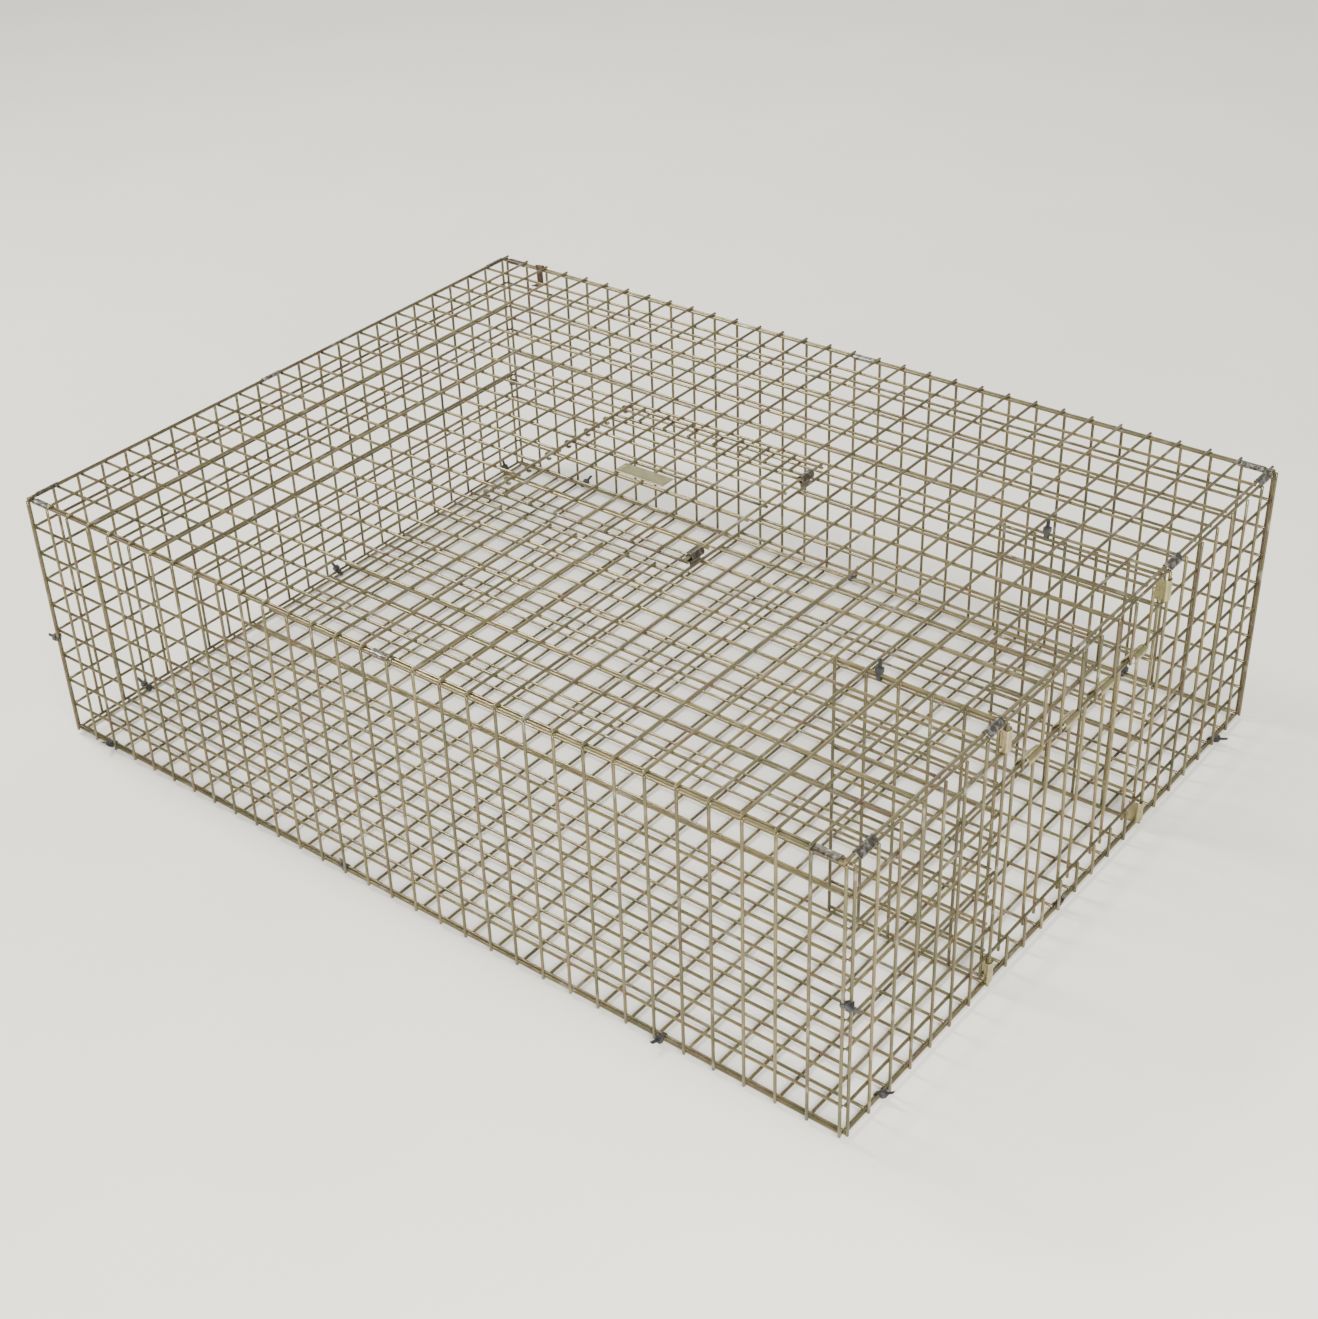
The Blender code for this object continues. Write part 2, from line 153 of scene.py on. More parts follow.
class Shader:
    """A Principled material whose nodes are added by name.

    In the inputs given by name, an underscore stands for a space.
    """

    def __init__(self, name):
        self.material = bpy.data.materials.new(name)
        self.material.use_nodes = True
        self.tree = self.material.node_tree
        self.base = self.tree.nodes["Principled BSDF"]

    def add(self, kind, **inputs):
        node = self.tree.nodes.new(kind)
        for key, value in inputs.items():
            self.feed(node.inputs[key.replace("_", " ")], value)
        return node

    def feed(self, socket, value):
        if isinstance(value, bpy.types.NodeSocket):
            self.tree.links.new(value, socket)
        else:
            socket.default_value = value

    def set(self, **inputs):
        for key, value in inputs.items():
            self.feed(self.base.inputs[key.replace("_", " ")], value)

    def noise(self, scale, detail=3.0, roughness=0.5, stretch=(1, 1, 1), shift=0.0):
        """Noise from 0 to 1 that rides with the object. A shift gives a pattern of its own."""
        place = self.add("ShaderNodeTexCoord").outputs["Object"]
        mapped = self.add("ShaderNodeMapping", Vector=place)
        mapped.inputs["Scale"].default_value = stretch
        mapped.inputs["Location"].default_value = (shift, shift * 0.7, shift * 1.3)
        node = self.add("ShaderNodeTexNoise", Vector=mapped.outputs[0], Scale=scale)
        node.inputs["Detail"].default_value = detail
        node.inputs["Roughness"].default_value = roughness
        return node.outputs[0]

    def ramp(self, value, stops):
        """The colours at the stops, blended by the value."""
        node = self.add("ShaderNodeValToRGB", Fac=value)
        first, last = node.color_ramp.elements
        first.position, first.color = stops[0]
        last.position, last.color = stops[-1]
        for position, colour in stops[1:-1]:
            node.color_ramp.elements.new(position).color = colour
        return node.outputs[0]

    def mix(self, factor, a, b, blend="MIX"):
        """Colour a, with b laid over it by the factor."""
        node = self.add("ShaderNodeMix")
        node.data_type = "RGBA"
        node.blend_type = blend
        self.feed(node.inputs[0], factor)
        self.feed(node.inputs[6], a)
        self.feed(node.inputs[7], b)
        return node.outputs[2]

    def span(self, value, low, high):
        """The value, from 0 to 1, spread from low to high."""
        node = self.add("ShaderNodeMapRange", Value=value)
        node.inputs["To Min"].default_value = low
        node.inputs["To Max"].default_value = high
        return node.outputs[0]

    def attribute(self, name):
        """A number stored on the mesh's points."""
        node = self.add("ShaderNodeAttribute")
        node.attribute_name = name
        return node.outputs["Fac"]

    def raised(self, value, amount, share=0.2):
        """The value plus a share of the amount."""
        node = self.add("ShaderNodeMath")
        node.operation = "MULTIPLY_ADD"
        self.feed(node.inputs[0], amount)
        node.inputs[1].default_value = share
        self.feed(node.inputs[2], value)
        return node.outputs[0]

    def bump(self, height, strength, distance=0.0002):
        node = self.add("ShaderNodeBump", Height=height)
        node.inputs["Strength"].default_value = strength
        node.inputs["Distance"].default_value = distance
        self.set(Normal=node.outputs[0])


def grey(value):
    return (value, value, value, 1)


def gold_zinc(name):
    """Yellow chromate over zinc: olive gold in patches, with a tone for each wire, specks and bare spots."""
    shader = Shader(name)
    film = shader.ramp(
        shader.noise(34, 4, 0.55),
        [
            (0.28, (0.120, 0.121, 0.072, 1)),
            (0.43, (0.152, 0.140, 0.083, 1)),
            (0.53, (0.188, 0.166, 0.095, 1)),
            (0.63, (0.168, 0.132, 0.087, 1)),
            (0.76, (0.122, 0.093, 0.062, 1)),
        ],
    )
    # The tone of each wire scales its colour. The tone is partly random and partly painted light: wires
    # along X carry lighter tones, a painted highlight, and the others darker ones, painted shade.
    wire_tone_and_painted_light = shader.ramp(
        shader.attribute("tone"),
        [
            (0.0, (0.58, 0.57, 0.55, 1)),
            (0.5, (0.86, 0.84, 0.78, 1)),
            (1.0, (1.25, 1.16, 0.96, 1)),
        ],
    )
    toned = shader.mix(1.0, film, wire_tone_and_painted_light, "MULTIPLY")
    specks = shader.ramp(shader.noise(260, 5, 0.7, shift=3), [(0.66, grey(0)), (0.80, grey(0.5))])
    dirt = shader.mix(specks, toned, (0.085, 0.060, 0.035, 1))
    bare = shader.ramp(shader.noise(60, 2, 0.5, shift=9), [(0.60, grey(0)), (0.70, grey(0.5))])
    colour = shader.mix(bare, dirt, (0.34, 0.32, 0.25, 1))
    shader.set(Base_Color=colour, Metallic=0.62, Specular_IOR_Level=0.25)
    shader.set(Roughness=shader.span(shader.noise(110, 3, 0.5, shift=2), 0.15, 0.30))
    shader.bump(shader.noise(900, 3, 0.6, shift=5), 0.12, 0.0001)
    return shader.material


def gold_sheet(name):
    """Pale yellow chromate on sheet, with green and pink bloom, dark specks and fine rolling lines."""
    shader = Shader(name)
    film = shader.ramp(
        shader.noise(70, 4, 0.6),
        [
            (0.30, (0.24, 0.25, 0.13, 1)),
            (0.48, (0.37, 0.34, 0.17, 1)),
            (0.62, (0.34, 0.27, 0.17, 1)),
            (0.76, (0.19, 0.155, 0.095, 1)),
        ],
    )
    specks = shader.ramp(shader.noise(420, 5, 0.7, shift=3), [(0.62, grey(0)), (0.74, grey(0.8))])
    shader.set(Base_Color=shader.mix(specks, film, (0.11, 0.075, 0.04, 1)), Metallic=1.0)
    shader.set(Roughness=shader.span(shader.noise(260, 4, 0.6, shift=4), 0.18, 0.40))
    shader.bump(shader.noise(1300, 2, 0.5, (1, 0.1, 1), 6), 0.18, 0.0001)
    return shader.material


def silver_zinc(name):
    """Zinc sheet with spangle and fine rolling lines, tarnished and rusty in patches that grow with wear."""
    shader = Shader(name)
    spangle = shader.add("ShaderNodeTexVoronoi", Scale=420.0)
    flakes = shader.ramp(
        spangle.outputs["Color"],
        [(0.2, (0.27, 0.27, 0.25, 1)), (0.8, (0.48, 0.47, 0.44, 1))],
    )
    worn = shader.attribute("wear")
    dull_patches = shader.raised(shader.noise(230, 5, 0.65), worn)
    dull = shader.ramp(dull_patches, [(0.46, grey(0)), (0.62, grey(0.9))])
    tarnish = shader.mix(dull, flakes, (0.085, 0.076, 0.058, 1))
    rust_patches = shader.raised(shader.noise(310, 5, 0.7, shift=8), worn)
    rust = shader.ramp(rust_patches, [(0.64, grey(0)), (0.74, grey(0.9))])
    colour = shader.mix(rust, tarnish, (0.070, 0.044, 0.028, 1))
    shader.set(Base_Color=colour, Metallic=1.0)
    shader.set(Roughness=shader.span(shader.noise(300, 4, 0.6, shift=4), 0.25, 0.5))
    shader.bump(shader.noise(1400, 2, 0.5, (1, 0.1, 1), 6), 0.18, 0.0001)
    return shader.material


def black_nylon(name):
    """Moulded nylon: near black with a faint grey bloom and a satin, slightly pebbled surface."""
    shader = Shader(name)
    bloom = shader.ramp(
        shader.noise(160, 4, 0.6),
        [(0.40, (0.012, 0.013, 0.014, 1)), (0.75, (0.050, 0.052, 0.055, 1))],
    )
    shader.set(Base_Color=bloom)
    shader.set(Roughness=shader.span(shader.noise(500, 3, 0.6, shift=2), 0.34, 0.58))
    shader.bump(shader.noise(1600, 2, 0.5, shift=1), 0.22, 0.0001)
    return shader.material


def rusty_steel(name):
    """Rough rust in dark browns."""
    shader = Shader(name)
    rust = shader.ramp(
        shader.noise(240, 6, 0.7),
        [
            (0.30, (0.022, 0.014, 0.010, 1)),
            (0.48, (0.055, 0.032, 0.019, 1)),
            (0.62, (0.110, 0.062, 0.033, 1)),
            (0.78, (0.060, 0.047, 0.038, 1)),
        ],
    )
    shader.set(Base_Color=rust, Metallic=0.25)
    shader.set(Roughness=shader.span(shader.noise(500, 4, 0.6, shift=3), 0.62, 0.92))
    shader.bump(shader.noise(900, 5, 0.7, shift=7), 0.6, 0.0003)
    return shader.material


def pale_gold(name):
    """Pale gold on a blank plate, brushed along its length and scuffed."""
    shader = Shader(name)
    scuffs = shader.ramp(
        shader.noise(130, 5, 0.65),
        [
            (0.35, (0.195, 0.185, 0.098, 1)),
            (0.60, (0.260, 0.240, 0.128, 1)),
            (0.78, (0.140, 0.122, 0.068, 1)),
        ],
    )
    shader.set(Base_Color=scuffs, Metallic=0.9)
    shader.set(Roughness=shader.span(shader.noise(420, 4, 0.6, (0.1, 1, 1), 3), 0.26, 0.46))
    shader.bump(shader.noise(1500, 2, 0.5, (0.08, 1, 1), 5), 0.2, 0.0001)
    return shader.material


SLOTS = {
    "gold_zinc_wire": gold_zinc("gold_zinc_wire_finish"),
    "gold_zinc_sheet": gold_sheet("gold_zinc_sheet_finish"),
    "silver_zinc_sheet": silver_zinc("silver_zinc_sheet_finish"),
    "black_nylon": black_nylon("black_nylon_finish"),
    "rusty_steel": rusty_steel("rusty_steel_finish"),
    "pale_gold_tag": pale_gold("pale_gold_tag_finish"),
}


# ---------------------------------------------------------------- pieces


def arc(centre, radius, start, end, steps):
    """Points on a circle from one angle in degrees to another."""
    angles = [radians(start + (end - start) * n / steps) for n in range(steps + 1)]
    return [(centre[0] + radius * cos(a), centre[1] + radius * sin(a)) for a in angles]


def wear_down(piece, amount):
    """How tarnished and rusty the piece is, from 0 to 1, for its material to read."""
    wear = piece.data.attributes.new("wear", "FLOAT", "POINT")
    wear.data.foreach_set("value", np.full(len(piece.data.vertices), amount, np.float32))


def publish(piece, body, slot, *nodes):
    """The piece rides on its body, takes its slot's finish and stands for its CAD nodes."""
    piece.data.materials.clear()
    piece.data.materials.append(SLOTS[slot])
    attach(piece, body)
    if nodes:
        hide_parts(*nodes)


class WireMesh:
    """Tubes and welds gathered into one mesh, with a tone for each wire.

    CHAMFER and CUT_END are the length and the end radius of a wire's chamfer, in radii of the wire. Each row
    of WELD_ROWS is a height and a reach of the nugget, in its own size.
    """

    CHAMFER = 0.25
    CUT_END = 0.74
    WELD_SIDES = 8
    WELD_ROWS = ((-0.70, 0.50), (0.0, 1.10), (0.70, 0.50))

    def __init__(self):
        self.points = []
        self.faces = []
        self.tones = []
        self.count = 0

    def _take(self, points, faces, tone):
        self.points.append(points)
        self.faces += [tuple(n + self.count for n in face) for face in faces]
        self.tones.append(np.full(len(points), tone))
        self.count += len(points)

    def tube(self, path, side, tone=None):
        """A round wire with chamfered cut ends, whose path never runs along the direction side.

        A wire that is given no tone draws one.
        """
        path = np.array(path, float)
        steps = np.gradient(path, axis=0)
        steps /= np.linalg.norm(steps, axis=1)[:, None]
        across = np.cross(steps, np.array(side, float))
        across /= np.linalg.norm(across, axis=1)[:, None]
        over = np.cross(across, steps)
        centres = np.vstack([path[:1], path, path[-1:]])
        centres[1] += steps[0] * TUBE * self.CHAMFER
        centres[-2] -= steps[-1] * TUBE * self.CHAMFER
        radii = np.full(len(centres), TUBE)
        radii[[0, -1]] = TUBE * self.CUT_END
        across = np.vstack([across[:1], across, across[-1:]])
        over = np.vstack([over[:1], over, over[-1:]])
        turn = (np.arange(SIDES) * 2 * pi / SIDES)[None, :, None]
        ring = across[:, None] * np.cos(turn) + over[:, None] * np.sin(turn)
        points = (centres[:, None] + ring * radii[:, None, None]).reshape(-1, 3)
        faces = []
        for row in range(len(centres) - 1):
            for n in range(SIDES):
                a = row * SIDES + n
                b = row * SIDES + (n + 1) % SIDES
                faces.append((a, b, b + SIDES, a + SIDES))
        faces.append(tuple(reversed(range(SIDES))))
        faces.append(tuple(range(len(points) - SIDES, len(points))))
        self._take(points, faces, RNG.random() if tone is None else tone)

    def weld(self, place, first, second, tone=WELD_TONE):
        """A small squeezed nugget where two wires cross, lying along both of them."""
        first, second = Vector(first), Vector(second)
        normal = first.cross(second)
        size = R * RNG.uniform(*WELD_SIZES)
        sides = self.WELD_SIDES
        points = []
        for height, reach in self.WELD_ROWS:
            for n in range(sides):
                a = (n + 0.5) * 2 * pi / sides
                out = first * cos(a) + second * sin(a)
                points.append(Vector(place) + (out * reach + normal * height) * size)
        faces = [tuple(reversed(range(sides))), tuple(range(2 * sides, 3 * sides))]
        for row in (0, sides):
            for n in range(sides):
                a, b = row + n, row + (n + 1) % sides
                faces.append((a, b, b + sides, a + sides))
        self._take(np.array([tuple(p) for p in points]), faces, tone)

    def build(self, name):
        mesh = bpy.data.meshes.new(name)
        mesh.from_pydata(np.vstack(self.points).tolist(), [], self.faces)
        tones = mesh.attributes.new("tone", "FLOAT", "POINT")
        tones.data.foreach_set("value", np.concatenate(self.tones).astype(np.float32))
        fix = bmesh.new()
        fix.from_mesh(mesh)
        bmesh.ops.recalc_face_normals(fix, faces=fix.faces)
        fix.to_mesh(mesh)
        fix.free()
        mesh.shade_smooth()
        mesh.set_sharp_from_angle(angle=radians(50))
        return add_object(name, mesh)


class Grid:
    """One welded panel. Along u runs one layer of wires and along v the other, each at its own depth.

    Both layers share a waviness of LIFT out of the panel's plane and SWAY in it, and each wire has its own
    JITTER. They are small enough for the panels to fold past each other.
    """

    LIFT = 0.00014
    SWAY = 0.0001
    JITTER = 0.00003

    def __init__(self, origin, u, v, normal):
        self.origin = Vector(origin)
        self.u = Vector(u)
        self.v = Vector(v)
        self.normal = Vector(normal)
        self.mesh = WireMesh()
        self.bow = RNG.uniform(0, 2 * pi, 4)

    def at(self, a, b, depth):
        return self.origin + self.u * a + self.v * b + self.normal * depth

    def wander(self, a, b):
        """The waviness at a place: out of the plane, along u and along v."""
        p = self.bow
        lift = self.LIFT * sin(a * 17 + p[0]) * sin(b * 13 + p[1])
        return lift, self.SWAY * sin(a * 23 + p[2]), self.SWAY * sin(b * 19 + p[3])

    def run(self, along_u, fixed, start, end, depth):
        """A wire at a fixed place in one direction, from start to end in the other."""
        heading = self.u if along_u else self.v
        # Painted light: wires along X draw the lighter tones as a painted highlight, and the others draw the
        # darker ones as painted shade.
        tone = RNG.uniform(*(PAINTED_LIT_TONES_ALONG_X if heading.x else PAINTED_SHADE_TONES_ACROSS))
        steps = max(2, int(round((end - start) / (PITCH / 2))))
        jitter = RNG.normal(0, self.JITTER, steps + 1)
        path = []
        for n in range(steps + 1):
            t = start + (end - start) * n / steps
            a, b = (t, fixed) if along_u else (fixed, t)
            lift, da, db = self.wander(a, b)
            if along_u:
                db += jitter[n]
            else:
                da += jitter[n]
            path.append(self.at(a + da, b + db, depth + lift))
        self.mesh.tube(path, self.normal, tone=tone)

    def welds(self, places, depth):
        for a, b in places:
            lift, da, db = self.wander(a, b)
            self.mesh.weld(self.at(a + da, b + db, depth + lift), self.u, self.v)


def inside(place, gap):
    """Whether the place lies between the gap's two edges, and on neither of them."""
    return gap[0] + 1e-6 < place < gap[1] - 1e-6


def grid_panel(name, grid, us, vs, u_depth, v_depth, u_ends, v_ends, hole=None, sunk=None):
    """us are the places of the wires along v, and vs those of the wires along u.

    hole is (u0, u1, v0, v1), and the wires that meet it end in stubs inside it. sunk gives the depth of any
    wire along v that is welded in deeper than its layer.
    """
    u_gap, v_gap = (hole[:2], hole[2:]) if hole else ((0, 0), (0, 0))

    def spans(low, high, gap, cut):
        return [(low, gap[0] + HOLE_STUB), (gap[1] - HOLE_STUB, high)] if cut else [(low, high)]

    for b in vs:
        for start, end in spans(us[0] - u_ends[0], us[-1] + u_ends[1], u_gap, inside(b, v_gap)):
            grid.run(True, b, start, end, u_depth)
    for a in us:
        depth = (sunk or {}).get(a, v_depth)
        for start, end in spans(vs[0] - v_ends[0], vs[-1] + v_ends[1], v_gap, inside(a, u_gap)):
            grid.run(False, a, start, end, depth)
    crossings = [(a, b) for a in us for b in vs if not (inside(a, u_gap) and inside(b, v_gap))]
    grid.welds(crossings, (u_depth + v_depth) / 2)
    return grid.mesh.build(name)


def make_floor():
    """The wires along Y lie under those along X."""
    grid = Grid((0, 0, 0), X_DIR, Y_DIR, Z_DIR)
    piece = grid_panel("floor_mesh", grid, XS, YS, LOW_Z, LOW_Z - LAYER, (END, END), (END, END))
    publish(piece, "floor", "gold_zinc_wire", "floor_panel")


def make_long_wall(side, body, node):
    """The front wall is on side -1 and the back wall on side 1. Their uprights are outside."""
    grid = Grid((0, side * LONG_Y, 0), X_DIR, Z_DIR, (0, side, 0))
    piece = grid_panel(body + "_mesh", grid, WALL_XS, ZS, 0, LAYER, (END, END), (STUB_LONG, STUB_TOP))
    publish(piece, body, "gold_zinc_wire", node)


def make_left_wall():
    """Its uprights are outside."""
    grid = Grid((-END_X, 0, 0), Y_DIR, Z_DIR, (-1, 0, 0))
    piece = grid_panel("left_wall_mesh", grid, WALL_YS, ZS, 0, LAYER, (END, END), (STUB_END, STUB_TOP))
    publish(piece, "left_wall", "gold_zinc_wire", "left_panel")


def make_entrance_wall():
    """Its uprights are outside, and those over and under the entrance end in stubs."""
    hole = tuple(WALL_YS[j] for j in ENTRANCE_J) + tuple(ZS[k] for k in ENTRANCE_K)
    grid = Grid((END_X, 0, 0), Y_DIR, Z_DIR, X_DIR)
    piece = grid_panel("entrance_mesh", grid, WALL_YS, ZS, 0, LAYER, (END, END), (STUB_END, STUB_TOP), hole)
    publish(piece, "entrance_wall", "gold_zinc_wire", "entrance_panel")


def make_roof():
    """The wire that the door hinges on is sunk to the hinge, so that the curls go round it."""
    hinge = JOINTS["door_open"]["pos_m"]
    across = list(XS)
    across[DOOR_I[0]] = hinge[0]
    hole = (hinge[0], XS[DOOR_I[1]], YS[DOOR_J[0]], YS[DOOR_J[1]])
    past = LONG_Y + ROOF_PAST_WALL - HALF_Y
    grid = Grid((0, 0, TOP_Z), X_DIR, Y_DIR, Z_DIR)
    sunk = {hinge[0]: hinge[2] - TOP_Z + 0.0003}
    piece = grid_panel("roof_mesh", grid, across, YS, 0, LAYER, (END, END), (past, past), hole, sunk=sunk)
    publish(piece, "roof", "gold_zinc_wire", "roof_panel")


def make_tunnel_side(name, side):
    """A grille standing behind the entrance, with its uprights on the tunnel's outer side."""
    low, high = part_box("tunnel_side_" + name)
    middle = (low.y + high.y) / 2
    long = high.x - low.x - WIRE
    us = [low.x + R + long * n / TUNNEL_CELLS for n in range(TUNNEL_CELLS + 1)]
    bottom, top = low.z + R, TOP_Z - TUNNEL_DROP
    vs = [bottom + (top - bottom) * n / CELLS_Z for n in range(CELLS_Z + 1)]
    grid = Grid((0, middle - side * R, 0), X_DIR, Z_DIR, (0, side, 0))
    piece = grid_panel(f"tunnel_{name}_mesh", grid, us, vs, 0, LAYER, (R, R), (R, R))
    publish(piece, f"tunnel_{name}", "gold_zinc_wire", "tunnel_side_" + name)


def make_door():
    """The door's wires along X curl round the roof's wire, which is the hinge."""
    low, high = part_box("door_panel")
    hinge = JOINTS["door_open"]["pos_m"]
    cells_i, cells_j = DOOR_I[1] - DOOR_I[0], DOOR_J[1] - DOOR_J[0]
    right = high.x - R
    us = [low.x + R] + [right - PITCH * n for n in range(cells_i - 1, -1, -1)]
    vs = [low.y + R + (high.y - low.y - WIRE) * n / cells_j for n in range(cells_j + 1)]
    depth = low.z + R
    curl_radius, free_end, steps = 0.0027, right + 0.0022, 16
    curl = arc((hinge[0], hinge[2]), curl_radius, -25, -280, 13)
    ease = [(hinge[0] + 0.0026, hinge[2] + 0.0031), (us[0] - 0.0012, depth)]
    straight = [(us[0] + (free_end - us[0]) * n / steps, depth) for n in range(steps + 1)]
    grid = Grid((0, 0, 0), X_DIR, Y_DIR, Z_DIR)
    for b in vs:
        grid.mesh.tube([(x, b, z) for x, z in curl + ease + straight], Y_DIR)
    for a in us:
        grid.run(False, a, vs[0] - DOOR_STUB, vs[-1] + DOOR_STUB, depth + LAYER)
    grid.welds([(a, b) for a in us for b in vs], depth + LAYER / 2)
    piece = grid.mesh.build("door_mesh")
    knuckles = [n for n in frame["nodes"] if n.startswith("door_knuckle")]
    publish(piece, "door", "gold_zinc_wire", "door_panel", *knuckles)


def make_gate(number):
    """An inverted U of wire with rounded shoulders and splayed legs."""
    name = f"gate_{number}"
    low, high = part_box(name + "_wire")
    middle = (low.y + high.y) / 2
    top_half = 0.55 * PITCH
    foot_half = (high.y - low.y) / 2 - R
    top_x, foot_x = low.x + R, high.x - R
    bend = 0.004
    shoulder_z = high.z - R - bend
    uneven = 0.0004
    steps = 8
    half = []
    for n in range(steps):
        t = n / steps
        half.append((
            foot_x + (top_x - foot_x) * t,
            -foot_half + (foot_half - top_half) * t + uneven * sin(9 * t + number),
            low.z + (shoulder_z - low.z) * t,
        ))
    half += [(top_x, y, z) for y, z in arc((-top_half + bend, shoulder_z), bend, 180, 90, 6)]
    path = half + [(x, -y, z) for x, y, z in reversed(half)]
    mesh = WireMesh()
    mesh.tube([(x, y + middle, z) for x, y, z in path], X_DIR, tone=0.5 + 0.1 * number)
    publish(mesh.build(name + "_rod"), name, "gold_zinc_wire", name + "_wire")


# ---------------------------------------------------------------- folded sheet and ties


def rounded_path(corners, radius, steps=4):
    """A path through the corners, each one inside it rounded off."""
    points = [Vector(corners[0])]
    for before, corner, after in zip(corners, corners[1:], corners[2:]):
        corner = Vector(corner)
        back = Vector(before) - corner
        on = Vector(after) - corner
        reach = min(radius, back.length * 0.45, on.length * 0.45)
        start = corner + back.normalized() * reach
        end = corner + on.normalized() * reach
        for n in range(steps + 1):
            t = n / steps
            points.append(start * (1 - t) ** 2 + corner * 2 * t * (1 - t) + end * t * t)
    points.append(Vector(corners[-1]))
    return [tuple(point) for point in points]


def sheet_strip(name, path, width, thickness, origin, across, up, shape=None, closed=False):
    """A strip bent along a path in the plane of across and up. shape(t, s) widens or dents it.

    t is the share of the way along the path, and s goes from -1 at one edge of the strip to 1 at the other.
    """
    across, up = Vector(across), Vector(up)
    side = across.cross(up)
    points = [Vector(p) for p in path]
    count = len(points)
    rows = STRIP_ROWS
    work = bmesh.new()
    grids = []
    for n, point in enumerate(points):
        before = points[n - 1] if n or closed else point
        after = points[(n + 1) % count] if n < count - 1 or closed else point
        along = (after - before).normalized()
        out = Vector((-along.y, along.x))
        t = n / (count - 1)
        layers = []
        for half in (0.5, -0.5):
            row = []
            for m in range(rows):
                s = -1 + 2 * m / (rows - 1)
                reach, dent = shape(t, s) if shape else (1.0, 0.0)
                flat = point + out * (half * thickness + dent)
                place = Vector(origin) + across * flat.x + up * flat.y + side * (s * width / 2 * reach)
                row.append(work.verts.new(place))
            layers.append(row)
        grids.append(layers)
    last = count if closed else count - 1
    for n in range(last):
        a, b = grids[n], grids[(n + 1) % count]
        for m in range(rows - 1):
            work.faces.new((a[0][m], a[0][m + 1], b[0][m + 1], b[0][m]))
            work.faces.new((a[1][m], b[1][m], b[1][m + 1], a[1][m + 1]))
        work.faces.new((a[0][0], b[0][0], b[1][0], a[1][0]))
        work.faces.new((a[0][-1], a[1][-1], b[1][-1], b[0][-1]))
    if not closed:
        for layers in (grids[0], grids[-1]):
            for m in range(rows - 1):
                work.faces.new((layers[0][m], layers[1][m], layers[1][m + 1], layers[0][m + 1]))
    bmesh.ops.recalc_face_normals(work, faces=work.faces)
    piece = add_object(name, mesh_from(work, name))
    finish_edges(piece, STRIP_BEVEL)
    return piece


def mesh_from(work, name):
    """A mesh with what was built in the bmesh, which is then freed."""
    mesh = bpy.data.meshes.new(name)
    work.to_mesh(mesh)
    work.free()
    return mesh


def finish_edges(piece, width):
    """Rounded sharp edges, and smooth faces between them."""
    edge = piece.modifiers.new("edges", "BEVEL")
    edge.width = width
    edge.segments = 2
    edge.limit_method = "ANGLE"
    edge.angle_limit = radians(40)
    piece.data.shade_smooth()
    piece.data.set_sharp_from_angle(angle=radians(35))


def block(work, centre, size, axes):
    """A box in the mesh being built, with its size along the three given axes."""
    made = bmesh.ops.create_cube(work, size=1)["verts"]
    turn = Matrix([Vector(a) * s for a, s in zip(axes, size)]).transposed().to_4x4()
    bmesh.ops.transform(work, matrix=Matrix.Translation(Vector(centre)) @ turn, verts=made)


def crimp(t, s):
    """Uneven cut edges, and a slight squeeze across the middle of the length."""
    squeeze = 0.00012 * max(0.0, 1 - abs(s) * 2)
    return 1.0 + 0.03 * sin(14 * t + 2), -squeeze - 0.00005 * sin(9 * s + 5 * t)


def cap_clip(name, number, side, long_side):
    """A rolled clip hooked round the roof's edge wire and lapped over the wall's top wire beside it."""
    node = f"roof_clip_{name}_{number}"
    low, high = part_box(node)
    middle = (low + high) / 2
    if long_side:
        origin, out, length = (middle.x, side * LONG_Y, TOP_Z), (0, side, 0), high.x - low.x
        roof_wire, lean = (-NEXT_WIRE, 0), 90
    else:
        origin, out, length = (side * END_X, middle.y, TOP_Z), (side, 0, 0), high.y - low.y
        roof_wire, lean = (-NEXT_WIRE, LAYER), CLIMB
    path = arc(roof_wire, HUG, -80, lean - 360, 14) + arc((0, 0), HUG, lean, -25, 8)
    piece = sheet_strip(f"cap_clip_{name}_{number}", path, length, SHEET, origin, out, Z_DIR, crimp)
    wear_down(piece, CLIP_WEAR.get((name, number), MILD_WEAR))
    publish(piece, "roof", "silver_zinc_sheet", node)


def hinge_clip(number):
    """A rolled clip hooked round the roof's edge wire and right round the entrance wall's top wire."""
    node = f"roof_hinge_clip_{number}"
    low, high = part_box(node)
    origin = (END_X, (low.y + high.y) / 2, TOP_Z)
    path = arc((-NEXT_WIRE, LAYER), HUG, -80, CLIMB - 360, 14) + arc((0, 0), HUG, CLIMB, -150, 14)
    piece = sheet_strip(f"hinge_clip_{number}", path, high.y - low.y, SHEET, origin, X_DIR, Z_DIR, crimp)
    wear_down(piece, CLIP_WEAR.get(("hinge", number), MILD_WEAR))
    publish(piece, "roof", "silver_zinc_sheet", node)


def tunnel_clip(number):
    """A sheet strip folded round the upright beside the entrance, with a long leg along the tunnel side."""
    node = f"tunnel_clip_{number}"
    low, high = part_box(node)
    near, far = (low.y + SKIN, high.y - SKIN) if low.y > 0 else (high.y - SKIN, low.y + SKIN)
    face = high.x - SKIN
    corners = [(END_X + 0.0002, far), (face, far), (face, near), (low.x, near)]
    path = rounded_path(corners, 0.0032, 6)
    origin = (0, 0, (low.z + high.z) / 2)
    long = high.z - low.z
    piece = sheet_strip(f"side_clip_{number}", path, long, THICK_SHEET, origin, X_DIR, Y_DIR, crimp)
    publish(piece, "entrance_wall", "gold_zinc_sheet", node)


